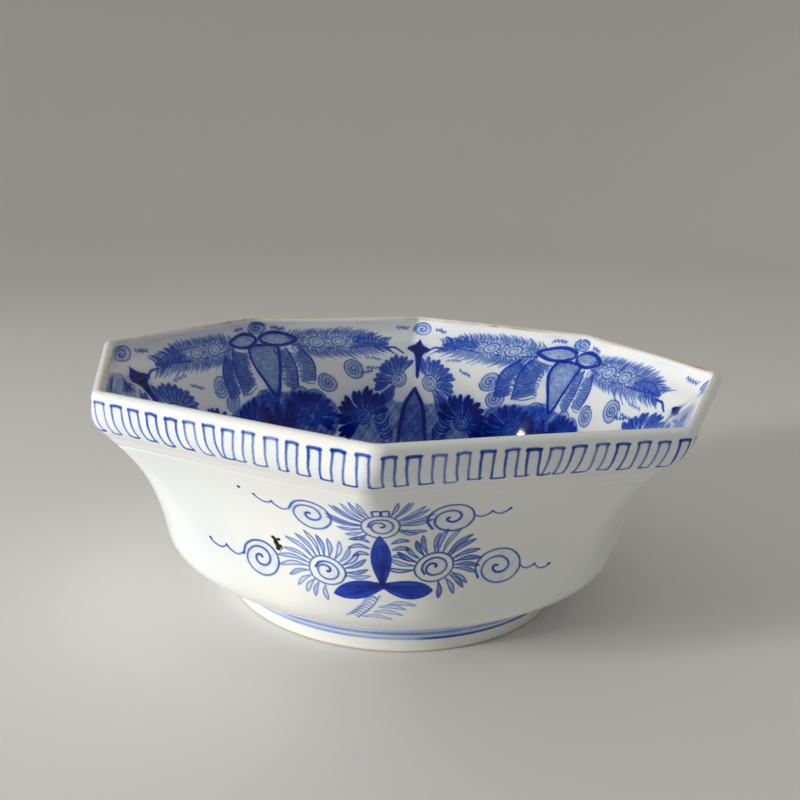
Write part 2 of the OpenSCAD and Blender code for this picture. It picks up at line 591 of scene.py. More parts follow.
def outlined(chart, centre, size, width, ink, tilt=0.0, pinch=0.0, press=(0.8, 1.0, 0.8)):
    brush(chart, closed(oval(centre, size, tilt, pinch)), width, ink, press)


def washed(chart, centre, size, ink, softness=0.6, mottle=0.12, tilt=0.0, pinch=0.0):
    wash(chart, oval(centre, size, tilt, pinch), ink, softness, mottle)


# -------- motifs

def spiral(chart, centre, size, turns=2.2, start=170, hand=-1, tilt=0, width=0.6,
           ink=0.55, tint=0.05):
    """A spiral from the outside in. size is its half width and half height, start is where
    it begins in degrees, and hand 1 turns counter-clockwise."""
    if tint:
        washed(chart, centre, size, tint, 1, 0.4, tilt)
    turned = np.linspace(0, turns, max(8, int(turns * 10)))
    angle = math.radians(start) + hand * 2 * math.pi * turned
    shrink = np.interp(turned, [0, 0.7, 1.1, turns], [1, 1, 0.7, 0.1])
    x, y = size[0] * shrink * np.cos(angle), size[1] * shrink * np.sin(angle)
    brush(chart, leaning(centre, x, y, tilt), width, ink, press=(1.1, 0.9, 1.2),
          pool=(0.35, 0.5))


def feather_ring(chart, centre, size, plan, bend=0.2, width=1.25, ink=0.55, fill=0.1,
                 turns=1.6, start=185, tilt=0):
    """A spiral in a ring of outlined petals. plan lists each petal's angle and length, and
    bend curls their tips counter-clockwise."""
    for angle, length in plan:
        out = heading(angle + rng.normal(0, 2))
        reach = length * rng.uniform(0.93, 1.07)
        side = left_of(out) * reach
        curl = bend(angle) if callable(bend) else bend
        base = np.array(centre) + (np.array(size) + 0.35) * out
        points = [base, base + 0.5 * reach * out + 0.12 * curl * side,
                  base + reach * out + curl * side]
        blade(chart, points, width * rng.uniform(0.88, 1.12), fill * rng.uniform(0.5, 1.6),
              0.36, ink * rng.uniform(0.8, 1.25), widest=0.6, shade=0.8)
    outlined(chart, centre, size, 0.48, ink, tilt, press=(1.1, 0.9, 1))
    inner = (size[0] * 0.64, size[1] * 0.64)
    spiral(chart, centre, inner, turns, start, tilt=tilt, width=0.55, ink=ink, tint=0.04)


def wavy_tail(chart, start, end, sag=1.2, ink=0.62):
    """A thread of two shallow waves, each ending in a flick, with a dot of paint last."""
    start, end = np.array([start, end], float)
    run = (end - start) / 2
    for first in (start, start + run):
        points = [first, first + 0.35 * run - (0, sag), first + 0.8 * run - (0, 0.6 * sag),
                  first + run + (0, 0.35)]
        brush(chart, points, 0.55, ink, press=(0.7, 0.9, 1.1), pool=(0.2, 0.5))
    dot(chart, end + (0, 0.2), 0.4, ink * 1.5)


def barbs(chart, spine, side, length, count, lean=0.5, width=0.8, ink=0.5,
          grow=(0.8, 1, 0.6), curl=0.4):
    """Strokes that leave a curved spine on one side, like the barbs of a feather."""
    run = through(spine)
    for place in np.linspace(0.02, 0.98, count):
        i = min(int(place * (len(run) - 1)), len(run) - 2)
        along = run[i + 1] - run[i]
        along = along / (np.hypot(*along) + 1e-9)
        out = side * left_of(along)
        reach = length * np.interp(place, [0, 0.5, 1], grow) * rng.uniform(0.78, 1.2)
        slant = lean + rng.normal(0, 0.1)
        tip = run[i] + reach * (out + slant * along)
        middle = run[i] + reach * 0.55 * (out + (slant - curl) * along)
        brush(chart, [run[i], middle, tip], width, ink * rng.uniform(0.75, 1.2),
              press=(0.7, 1.1, 0.3), pool=(0, 0.3))


def squiggle(chart, start, end, ink=0.45):
    start, end = np.array([start, end], float)
    points = [start + (end - start) * t + (0, 0.6 * (-1) ** i)
              for i, t in enumerate(np.linspace(0, 1, 10))]
    brush(chart, points, 0.7, ink, wobble=0.25)


def roe(chart, outline, gap=1.6, ink=0.42):
    """Rows of small rings inside an outline, like fish roe."""
    edge = through(closed(outline), gap=1)
    low, high = edge.min(axis=0), edge.max(axis=0)
    for row, y in enumerate(np.arange(low[1], high[1], gap * 0.85)):
        for x in np.arange(low[0] + gap / 2 * (row % 2), high[0], gap):
            place = np.array([x, y]) + rng.normal(0, 0.12, 2)
            if enclosed(*place, edge):
                ring_mark(chart, place, gap * 0.34, ink * rng.uniform(0.75, 1.25))


def round_flower(chart, centre, radius, first, last, count, ink=0.6, fill=0.3, eye=4,
                 width=2.3):
    """A fan of feathered petals round a pale spiral eye, between two angles."""
    centre = np.array(centre, float)
    for angle in np.linspace(first, last, count):
        out = heading(angle + rng.normal(0, 2))
        reach = radius * rng.uniform(0.92, 1.06)
        root, tip = centre + eye * out, centre + reach * out
        bulge = left_of(out) * (reach - eye) * 0.08
        blade(chart, [root, (root + tip) / 2 + bulge, tip], width, fill, 0.5, ink,
              widest=0.68, blunt=0.8, shade=0.9)
        brush(chart, [0.7 * root + 0.3 * tip, 0.1 * root + 0.9 * tip], 0.5, ink)
    washed(chart, centre, (eye, eye), 0.1)
    outlined(chart, centre, (eye, eye), 0.6, ink)
    spiral(chart, centre, (eye * 0.7, eye * 0.7), 2, 60, 1, width=0.5, ink=ink * 0.8, tint=0)


def curved_ribbon(chart, spine, width, ink, bands, dark_side):
    """A hanging ribbon: a wash crossed by fine bands, with one dark side and one ragged."""
    run = through(spine, 0.4)
    along = np.gradient(run, axis=0)
    along = along / np.hypot(*along.T)[:, None]
    out = left_of(along.T).T * width / 2
    left, right = run + out, run - out
    wash(chart, np.vstack([left[::8], right[::-8]]), ink, 0.8)
    for i in np.linspace(2, len(run) - 3, bands).astype(int):
        brush(chart, [left[i], run[i] + along[i], right[i]], 0.5, ink * 1.5, pool=(0.1, 0.1))
    dark, ragged = (left, right) if dark_side > 0 else (right, left)
    brush(chart, dark[::6], 0.95, 0.62, press=(1, 1, 0.6))
    barbs(chart, ragged[::6], -dark_side, 2.2, bands, 0.5, 0.65, 0.42)


# -------- painting, outside

COLLAR_UP = collar_outside.along[-1] - collar_outside.along
OUTSIDE = [(collar_outside, COLLAR_UP), (wall_outside, -wall_outside.along)]

TEETH_A_SIDE = 14
TOOTH_PITCH = 2 * collar_outside.half[0, 0] / TEETH_A_SIDE
TOOTH_HALF = 1.6
TOOTH_TOP = 13.5
TOOTH_FOOT = 4.8
TOOTH_SLANT = 2.1    # how far the foot of each stroke lies to the right of its top


def fret_border(corner):
    """The border along the collar: one line that rises and falls in square teeth."""
    chart = Chart(OUTSIDE, corner, 1)
    for tooth in range(TEETH_A_SIDE):
        middle = (tooth + 0.5 - TEETH_A_SIDE / 2) * TOOTH_PITCH + rng.normal(0, 0.14)
        left = middle - TOOTH_HALF + rng.normal(0, 0.12)
        right = middle + TOOTH_HALF + rng.normal(0, 0.12)
        following = middle + TOOTH_PITCH - TOOTH_HALF + TOOTH_SLANT
        top = TOOTH_TOP + rng.normal(0, 0.22)
        foot = TOOTH_FOOT + rng.normal(0, 0.25)
        slant = rng.normal(TOOTH_SLANT, 0.2)
        half_way = (top + foot) / 2
        load = rng.uniform(0.4, 0.8)
        dark = rng.uniform(1.2, 1.9) if rng.random() < 0.3 else 1
        tooth_shape = [(left + slant, foot + 1), (left, top), (right, top),
                       (right + slant, foot + 1)]
        wash(chart, tooth_shape, 0.045, 1.2)
        up = [(left + slant, foot), (left + slant * 0.4, half_way), (left - 0.1, top)]
        over = [(left - 0.2, top - 0.15), (middle, top + 0.1), (right + 0.15, top - 0.1)]
        down = [(right, top), (right + slant * 0.45, half_way), (right + slant, foot + 0.1)]
        across = [(right + slant - 0.15, foot + 0.3), (right + slant + 0.3, foot - 0.2),
                  (following - 0.4, foot - 0.15), (following + 0.05, foot + 0.3)]
        for points, width, ink, press, pool in (
            (up, 0.65, load * 0.95, (0.8, 0.95, 1.15), (0.3, 0.15)),
            (over, 0.78, load * dark, (1.1, 0.9, 1.05), (0.3, 0.2)),
            (down, 0.6, load * 0.9, (1.1, 0.9, 0.9), (0.1, 0.25)),
            (across, 0.68, load * dark, (1, 1.1, 0.8), (0.35, 0.25)),
        ):
            brush(chart, points, width, ink, press, pool)


CENTRE_PETALS = [
    (8, 9.5), (-2, 8.5), (-14, 7), (-28, 5.5), (18, 9.5), (28, 8.5), (38, 8), (48, 7),
    (60, 6), (122, 6), (134, 7.5), (145, 8.5), (155, 9.5), (164, 10), (174, 9.5), (184, 9),
    (196, 6.5), (210, 5), (228, 4),
]
LEFT_PETALS = [
    (-8, 6.5), (6, 6.5), (20, 7), (35, 7), (50, 6.5), (66, 6.5), (82, 6.5), (98, 7),
    (112, 9), (126, 9), (140, 9.5), (153, 9.5), (166, 10), (179, 10), (196, 7), (212, 6),
    (228, 5.5), (244, 5), (262, 5),
]
RIGHT_PETALS = [
    (0, 8), (14, 8.5), (28, 8.5), (41, 8.5), (54, 9), (67, 9.5), (80, 8.5), (92, 7.5),
    (106, 7), (122, 6), (138, 6), (154, 6.5), (170, 7.5), (185, 7.5), (-14, 7), (-28, 6),
    (-42, 6), (-58, 6), (-76, 5.5),
]


def outside_spray(corner):
    """The flower spray that sits across a corner of the wall."""
    chart = Chart(OUTSIDE, corner, 1)
    # Upper row: two plain spirals and a feathered one between them.
    spiral(chart, (-17.4, -14.4), (6.6, 5.5), 2.2, 182, tilt=-8)
    wavy_tail(chart, (-24.2, -14.2), (-35.4, -11.7))
    spiral(chart, (22.6, -13.4), (6.8, 5.8), 2.2, 205, tilt=14, ink=0.62)
    wavy_tail(chart, (29.2, -13), (40, -11.6))
    feather_ring(chart, (3, -14.6), (5.2, 4.7), CENTRE_PETALS, width=1.05, turns=1.7,
                 bend=lambda angle: 0.16 if abs(angle) < 90 else -0.16)
    for x in (1, 3.3):
        box = [(x, -9.9), (x - 0.1, -8.6), (x, -7.9), (x + 1, -7.7), (x + 2, -7.9),
               (x + 2.1, -8.8), (x + 2, -9.8)]
        brush(chart, box, 0.5, 0.75)
    # Lower row: two feathered spirals inside two plain ones.
    feather_ring(chart, (-12.6, -34.2), (5.6, 5), LEFT_PETALS, bend=0.24, tilt=-12)
    feather_ring(chart, (18, -31.4), (5.8, 5), RIGHT_PETALS, bend=-0.18, ink=0.65,
                 fill=0.16, start=205, tilt=16)
    spiral(chart, (-34.9, -36), (6.3, 6.2), 2.4, 188, tilt=-6)
    wavy_tail(chart, (-41.4, -36), (-53.4, -33.9), 1.5)
    spiral(chart, (37.6, -33.8), (7.1, 6.4), 2.3, 200, tilt=10, ink=0.48)
    wavy_tail(chart, (44.6, -34), (54.4, -35.2), 1.3, 0.5)
    # The three solid petals.
    for points, width, widest in (
        ([(3.4, -38.6), (3, -29), (2.6, -18.7)], 5.1, 0.57),
        ([(5.4, -37), (-3, -39.4), (-10.3, -42)], 5.9, 0.58),
        ([(1.4, -36.8), (9.6, -38.9), (17.4, -39.7)], 6.1, 0.6),
    ):
        blade(chart, points, width, 0.7, 0.5, 0.95, widest, blunt=1, shade=0.1)
        # Darker streaks that the brush left, running out towards the tip.
        base, middle, tip = np.array(points)
        across = left_of(tip - base) / np.hypot(*(tip - base))
        for off in (-0.34, -0.1, 0.2):
            beside = off * width * across
            brush(chart, [0.8 * base + 0.2 * middle, middle + 0.7 * beside,
                          0.35 * middle + 0.65 * tip + beside],
                  1.1, rng.uniform(0.8, 1), press=(0.9, 1.1, 0.3), pool=(0, 0), wobble=0.15)
    # Small leaves beside the upright petal.
    for points in (
        [(-0.2, -21.2), (-2.6, -20), (-5.6, -20.8)], [(-0.2, -23.6), (-3, -22.8), (-6, -24.2)],
        [(-0.4, -26), (-2.6, -25.6), (-4.8, -27.2)], [(5.8, -21.6), (8.2, -20.6), (10.6, -21)],
        [(6, -24), (8.4, -23.4), (10.6, -24.4)], [(6, -26.6), (8, -26.4), (9.6, -27.8)],
    ):
        blade(chart, points, 1.1, 0.14, 0.4, 0.62)
    # A fern sprig underneath, with open leaves on its right.
    stem = [(2.6, -41.4), (0.6, -45.4), (-3.8, -50.4)]
    brush(chart, stem, 0.45, 0.42)
    stalk = through(stem)
    for place in np.linspace(0.1, 0.97, 10):
        root = stalk[int(place * (len(stalk) - 1))]
        brush(chart, [root, root + (-1.6, 0.9), root + (-3.6, 0.2)], 0.4, 0.4)
    for points in (
        [(4.8, -44.6), (8.4, -43.9), (13, -44.9)], [(2.4, -45.6), (6.4, -45.2), (10.2, -46.4)],
        [(0.8, -47.6), (4.8, -47.2), (9.2, -48.6)], [(-2.2, -49.8), (1.8, -49.2), (6.2, -50.6)],
    ):
        blade(chart, points, 1.2, 0.1, 0.34, 0.34)


def kiln_specks():
    """Dark spots of iron that the firing left on one side."""
    chart = Chart(OUTSIDE, 6, 1)
    for down in np.linspace(0, 1, 22):
        x = -30.1 + 2.3 * down + rng.normal(0, 0.55)
        y = -27.1 - 3.9 * down + rng.normal(0, 0.25)
        dot(chart, (x, y), rng.uniform(0.25, 0.75), 1.4, "iron")
    brush(chart, [(-28.2, -30.8), (-27.6, -33.6)], 0.45, 0.5, press=(1, 0.7, 0.3), layer="iron")
    dot(chart, (-40.2, -9.6), 0.5, 1.4, "iron")
    around = Chart(OUTSIDE, 2, 1)
    for _ in range(14):
        dot(around, (rng.uniform(-120, 120), rng.uniform(-55, 12)), rng.uniform(0.12, 0.3),
            rng.uniform(0.3, 0.8), "iron")


def rim_edge():
    """A thin tan line where the glaze drew back from the rim, with a few pinholes."""
    angle = collar_rim.ways[None, :] * 2 * HALF_SIDE
    middle = 1.7 + 0.5 * np.sin(3 * angle + 1) + 0.3 * np.sin(7 * angle)
    strength = 0.26 + 0.08 * np.sin(5 * angle + 2) + 0.05 * np.sin(13 * angle)
    along = collar_rim.along[:, None]
    collar_rim.iron += strength * np.exp(-(along - middle) ** 2)
    over_rim = Chart([(collar_rim, collar_rim.along)], 6, 1)
    for x, y, radius in ((-7.5, 3, 0.4), (-5, 2.2, 0.22), (31, 3.4, 0.25), (-46, 2.6, 0.3)):
        dot(over_rim, (x, y), radius, 0.65, "iron")


def foot_lines():
    """Two lines round the outside of the foot, with a thin wash between them."""
    angle = foot_surface.ways[None, :] * 2 * HALF_SIDE
    outer = np.clip((foot_surface.rows[:, 0] - FOOT_R + 2.3) / 0.4, 0, 1)[:, None]
    wave = 0.12 * np.sin(2 * angle) + 0.08 * np.sin(5 * angle + 1)
    # The lower line is pale, and a second stroke over part of it is dark.
    turned = (angle - math.radians(-80)) % (2 * math.pi)
    second = np.clip(turned / 0.1, 0, 1) * np.clip((2.6 - turned) / 0.9, 0, 1)
    for height, half_width, ink, share in ((8.2, 0.75, 0.3, 1), (5.8, 0.6, 0.24, 1),
                                           (5.8, 0.5, 0.42, second), (7, 1.3, 0.13, 1)):
        uneven = share * (1 + 0.15 * np.sin(9 * angle + height))
        off = np.abs(foot_surface.rows[:, 1:2] - height - wave)
        foot_surface.pigment += outer * ink * uneven * np.clip(1.3 - off / half_width, 0, 1)


# -------- painting, inside

INSIDE_DEPTH = collar_inside.along[-1] + wall_inside.along[-1]
INSIDE = [
    (collar_inside, collar_inside.along - collar_inside.along[-1]),
    (wall_inside, wall_inside.along - INSIDE_DEPTH),
]


def frond(chart, side, lift):
    """The broad feathered branch that runs from a bow along one side of the rim."""
    def at(*points):
        return [(side * x, y + lift * x / 60) for x, y in points]
    wash(chart, at((17, -8), (26, -3.5), (42, -3), (56, -4), (67, -9), (60, -15), (44, -17.5),
                   (28, -18), (19, -14)), 0.24, softness=2.2, mottle=0.25)
    upper = at((16, -8), (30, -7.5), (46, -7), (57, -7.5), (66, -10.5))
    lower = at((17, -12), (30, -13.5), (44, -13.5), (57, -12.5), (66, -11.5))
    for spine, way, length, count in (
        (upper, side, 5, 30), (lower, -side, 6.4, 28), (upper, -side, 3, 26),
        (lower, side, 2.6, 24),
    ):
        barbs(chart, spine, way, length, count, 0.6, 0.85, 0.36, (0.8, 1, 0.8))
    brush(chart, upper, 0.7, 0.45)
    brush(chart, lower, 0.9, 0.55)
    for x, y, r in ((30, -10.4, 4), (41.5, -10, 3.7)):
        centre = at((x, y))[0]
        washed(chart, centre, (r + 2.2, r * 0.8 + 2), -0.75, 1.5, 0)
        washed(chart, centre, (r, r * 0.8), 0.1)
        outlined(chart, centre, (r, r * 0.8), 0.65, 0.5)
        outlined(chart, centre, (r * 0.5, r * 0.4), 0.5, 0.45)
        barbs(chart, closed(oval(centre, (r + 0.3, r * 0.8 + 0.3))), -1, 3, 20, 0.4, 0.7, 0.42)
    leaf = at((49, -10.4), (57, -9.2), (67, -11.5))
    washed(chart, leaf[1], (9, 3.2), -0.6, 2, 0)
    for way in (side, -side):
        barbs(chart, leaf, way, 4.8, 14, 0.8, 0.95, 0.46, (0.6, 1, 1))
    blade(chart, leaf, 3.4, 0.3, 0.6, 0.66)
    brush(chart, at((66, -13.5), (70, -13.6), (73, -16.5)), 1.1, 0.7)
    squiggle(chart, at((52, -19))[0], at((60, -20))[0], 0.35)


def bow_motif(corner):
    """Two ovals and a hanging leaf, with a feathered branch to each side."""
    chart = Chart(INSIDE, corner, -1, 1)
    # Dark foliage low on the wall.
    wash(chart, [(-30, -42), (-16, -38), (0, -37), (18, -38), (30, -44), (26, -60), (0, -66),
                 (-26, -60)], 0.4, softness=1.2, mottle=0.3)
    round_flower(chart, (16, -50), 13.5, -30, 200, 15, 0.8, 0.45)
    round_flower(chart, (-15, -50.5), 13, -20, 215, 15, 0.85, 0.5)
    for x, tilt in ((-4.5, -3), (0.5, 0), (5.5, 3)):
        points = [(x * 0.6, -62), (x, -52), (x + tilt, -42)]
        blade(chart, points, 4.4, 0.7, 0.7, 1)
        for way in (1, -1):
            barbs(chart, points, way, 3.6, 10, 0.7, 0.9, 0.75)
    # Ribbons beside the leaf.
    for ribbon in (
        ([(-12.6, -14), (-15.8, -22), (-14, -35)], 9.6, 0.36, 15, -1),
        ([(-21, -17), (-26, -24), (-24.5, -35)], 6.8, 0.38, 13, -1),
        ([(11, -15), (12.5, -24), (10.5, -35)], 5.5, 0.3, 14, 1),
        ([(18, -15.5), (21.5, -23), (19, -33)], 6, 0.3, 12, 1),
    ):
        curved_ribbon(chart, *ribbon)
    frond(chart, 1, -1.5)
    frond(chart, -1, -0.5)
    # Pale foliage under its right-hand side.
    for points in ([(5, -42), (11, -39.5), (17, -41)], [(15, -39), (21, -37.5), (26, -40)],
                   [(-8, -38), (-2, -36.5), (3, -40)]):
        barbs(chart, points, -1, 5, 11, 0.3, 0.8, 0.4)
        blade(chart, points, 2.6, 0.25, 0.5, 0.5, blunt=0.75)
    # The leaf.
    leaf = [(-6, -13.4), (1.5, -12.6), (9.5, -13.4), (8.6, -20), (6, -29),
            (2.2, -38.5), (-2.6, -30.5), (-6.6, -21)]
    wash(chart, leaf, 0.14)
    roe(chart, leaf, 1.7)
    brush(chart, closed(leaf), 1.4, 0.85, press=(1, 1.1, 1))
    # The two ovals.
    for centre, size, pinch in (((-8.8, -9.2), (9.2, 3.9), -0.35),
                                ((11.2, -9), (9, 3.9), 0.35)):
        washed(chart, centre, size, 0.1, pinch=pinch)
        roe(chart, oval(centre, (size[0] - 1.2, size[1] - 1), pinch=pinch), 1.6, 0.34)
        outlined(chart, centre, size, 1.6, 0.85, pinch=pinch, press=(1, 1.15, 1))
    # A spiral on the corner of the rim, between two squiggles.
    spiral(chart, (0.8, -3), (5, 2.7), 2.4, 30, 1, ink=0.45, tint=0.16)
    squiggle(chart, (-8, -2.4), (-15, -2.8))
    squiggle(chart, (8, -2.6), (15, -3.6))
    # Spirals under the branches.
    for x, y, r, start, turns, ink in (
        (-5.5, -40, 4.8, 40, 2.8, 0.42), (13.5, -38.5, 4.4, 120, 2.8, 0.42),
        (28.5, -33, 4.6, 80, 2.8, 0.42), (-33, -28.5, 4.8, 200, 2.8, 0.42),
        (-27, -36.5, 4.4, 150, 2.8, 0.42), (44, -26.5, 5, 20, 3, 0.45),
    ):
        washed(chart, (x, y), (r, r), 0.16)
        spiral(chart, (x, y), (r, r), turns, start, 1, ink=ink, tint=0)
    squiggle(chart, (50, -26), (59, -26.5))


def star_motif(corner):
    """A four-pointed star above two round flowers, over darker flowers lower down."""
    chart = Chart(INSIDE, corner, -1, 2)
    wash(chart, [(-34, -52), (-22, -40), (-6, -44), (8, -44), (24, -40), (36, -52), (30, -62),
                 (0, -66), (-30, -62)], 0.3, softness=1.2, mottle=0.3)
    round_flower(chart, (-25, -50.5), 14, 15, 235, 16, 0.95, 0.62)
    round_flower(chart, (26, -50.5), 14, 165, -55, 16, 0.95, 0.62)
    round_flower(chart, (-8.2, -32.5), 13, 58, 246, 15, 0.58, 0.26)
    round_flower(chart, (8.4, -33.5), 13.5, 122, -66, 15, 0.56, 0.24)
    # The star and its stem.
    star = [(1.4, -10.2), (3.5, -13.5), (7.6, -15.8), (3.9, -18.6), (2.6, -24), (2, -31),
            (0.8, -31), (0.2, -24), (-1.1, -18.6), (-4.8, -15.8), (-0.7, -13.5)]
    wash(chart, star, 1.15, 0.5, 0.05)
    # A pointed leaf below, between the dark flowers.
    leaf = [(0.6, -37.5), (5, -46), (7, -62), (-6, -62), (-4, -46)]
    wash(chart, leaf, 0.2)
    roe(chart, leaf, 1.8, 0.48)
    brush(chart, [(0.6, -37), (5.2, -46), (7.4, -63)], 2, 1.05)
    brush(chart, [(0.6, -37), (-4.2, -46), (-6.4, -63)], 2, 1.05)
    for x, tilt in ((-14, -4), (15, 4)):
        points = [(x * 0.8, -64), (x, -56), (x + tilt, -47)]
        for way in (1, -1):
            barbs(chart, points, way, 4, 10, 0.7, 0.95, 0.8)
    # Small things round the edge.
    spiral(chart, (1, -4.2), (4.8, 3.3), 2.2, 200, ink=0.42, tint=0.12)
    for start, end in (((-6.5, -3.4), (-14, -3)), ((8.5, -3.6), (15, -4.4)),
                       ((-22, -27.4), (-28.5, -28.4)), ((24, -24.8), (30, -26.8))):
        squiggle(chart, start, end)


def well_medallion():
    """Two rings round the floor and a sprig in the middle."""
    disc = Disc()
    for radius, width, ink in ((56.5, 1.1, 0.55), (53.8, 0.5, 0.5)):
        ring = [radius * heading(degrees) for degrees in np.linspace(0, 360, 49)]
        brush(disc, ring, width, ink, press=(1, 0.85, 1), wobble=0.12)
    petals = [(angle, 7.5) for angle in range(0, 360, 15)]
    for way in (90, 210, 330):
        out, side = heading(way), left_of(heading(way))
        blade(disc, [out * 2, out * 10, out * 19], 7, 0.9, 0.6, 1.1, 0.55, 0.95, 0.2)
        feather_ring(disc, 20 * heading(way + 60), (5.2, 5.2), petals, 0.2, 1.4, 0.6, 0.14)
        for hand in (1, -1):
            spiral(disc, out * 27 + side * hand * 14, (5.2, 5.2), 2.4, way, hand, ink=0.55)
        squiggle(disc, out * 24 - side * 3.5, out * 24 + side * 3.5, 0.6)


def bleed(surface, reach, share):
    """A little of the pigment spreads into the glaze round it."""
    soft = surface.pigment
    for axis, gap in ((0, surface.along[1]), (1, 16 * surface.half.mean() / len(surface.ways))):
        count = max(1, int(round(reach / gap)))
        soft = sum(np.roll(soft, shift, axis) for shift in range(-count, count + 1))
        soft = soft / (2 * count + 1)
    surface.pigment = surface.pigment + share * soft


for corner in range(8):
    fret_border(corner)
for corner in (6, 2):
    outside_spray(corner)
for corner in (1, 3, 5, 7):
    bow_motif(corner)
for corner in (0, 2, 4, 6):
    star_motif(corner)
well_medallion()
for surface in (collar_outside, wall_outside):
    bleed(surface, 0.8, 0.07)
for surface in (collar_inside, wall_inside):
    bleed(surface, 2.6, 0.28)
foot_lines()
rim_edge()
kiln_specks()


# -------- pieces

def ring_piece(name, *grids):
    """A closed piece whose grids follow each other round its cross-section."""
    skin = Skin()
    ends = [skin.add(*grid) for grid in grids]
    for (_, last), (first, _) in zip(ends, ends[1:] + ends[:1]):
        skin.join(last, first, sharp=True)
    return skin.build(name)


def floor_piece(name):
    """The round floor: its inner face, hidden edge, sloping outer face and underside."""
    slope = Surface(lathe([[TURN_R, TURN_Z], [FOOT_R, FOOT_H]]), 0.8 * COARSE, OUTER_WAYS)
    under = Surface(lathe([[FOOT_R, FOOT_H], [4, FOOT_H]]), 2 * COARSE, FOOT_WAYS)
    skin = Skin()
    slope_top, slope_foot = skin.add((slope, WHOLE))
    under_rim, under_middle = skin.add((under, WHOLE))
    skin.join(slope_foot, under_rim, sharp=True)
    skin.cap(under_middle, FOOT_H, up=False)
    middle, wall_side = skin.add((floor_inside[0], REVERSED))
    for ring in floor_inside[1:]:
        nearer, farther = skin.add((ring, REVERSED))
        skin.join(farther, middle)
        middle = nearer
    skin.join(wall_side, slope_top, sharp=True)
    skin.cap(middle, FLOOR_TOP, up=True)
    return skin.build(name)


# -------- materials

def linear(red, green, blue):
    """A linear colour from the 0 to 255 values of a colour picker."""
    def channel(value):
        value /= 255
        return value / 12.92 if value <= 0.04045 else ((value + 0.055) / 1.055) ** 2.4
    return (channel(red), channel(green), channel(blue), 1.0)


class Nodes:
    """A new material, with short calls for the node types that it uses."""

    def __init__(self, name):
        self.material = bpy.data.materials.new(name)
        self.material.use_nodes = True
        self.tree = self.material.node_tree
        self.tree.nodes.clear()
        self.shader = self.add("BsdfPrincipled")
        self.add("OutputMaterial", {"Surface": self.shader.outputs["BSDF"]})
        self.place = self.add("TexCoord").outputs["Object"]

    def add(self, kind, inputs=None, **settings):
        node = self.tree.nodes.new("ShaderNode" + kind)
        for name, value in settings.items():
            setattr(node, name, value)
        self.fill(node, inputs or {})
        return node

    def fill(self, node, inputs):
        """Sets a node's inputs, or links them to other nodes' outputs."""
        for name, value in inputs.items():
            if isinstance(value, (int, float, tuple)):
                node.inputs[name].default_value = value
            else:
                self.tree.links.new(value, node.inputs[name])

    def attribute(self, name):
        return self.add("Attribute", attribute_name=name).outputs["Fac"]

    def noise(self, scale, detail=2.0, roughness=0.5):
        """Noise with about scale features to the metre, from 0 to 1."""
        return self.add("TexNoise", {
            "Scale": scale, "Detail": detail, "Roughness": roughness, "Vector": self.place,
        }).outputs["Fac"]

    def math(self, operation, a, b, clamp=False):
        return self.add("Math", {0: a, 1: b}, operation=operation, use_clamp=clamp).outputs[0]

    def remap(self, value, low, high, to_low=0.0, to_high=1.0):
        return self.add("MapRange", {
            "Value": value, "From Min": low, "From Max": high, "To Min": to_low, "To Max": to_high,
        }).outputs["Result"]

    def ramp(self, value, stops):
        node = self.add("ValToRGB", {"Fac": value})
        elements = node.color_ramp.elements
        for _ in stops[2:]:
            elements.new(0.5)
        for element, (position, colour) in zip(elements, stops):
            element.position, element.color = position, linear(*colour)
        return node.outputs["Color"]

    def mix(self, share, a, b):
        return self.add("Mix", {0: share, 6: a, 7: b}, data_type="RGBA").outputs[2]

    def bump(self, height, distance, strength, **normal):
        return self.add("Bump", {
            "Strength": strength, "Distance": distance, "Height": height, **normal,
        }).outputs["Normal"]


PIGMENT_TOP = 1.6
BLUES = [
    (0.0, (222, 230, 240)), (0.12, (192, 207, 232)), (0.32, (126, 151, 204)),
    (0.55, (56, 90, 172)), (0.80, (6, 60, 184)), (1.10, (0, 32, 134)), (1.6, (0, 10, 76)),
]


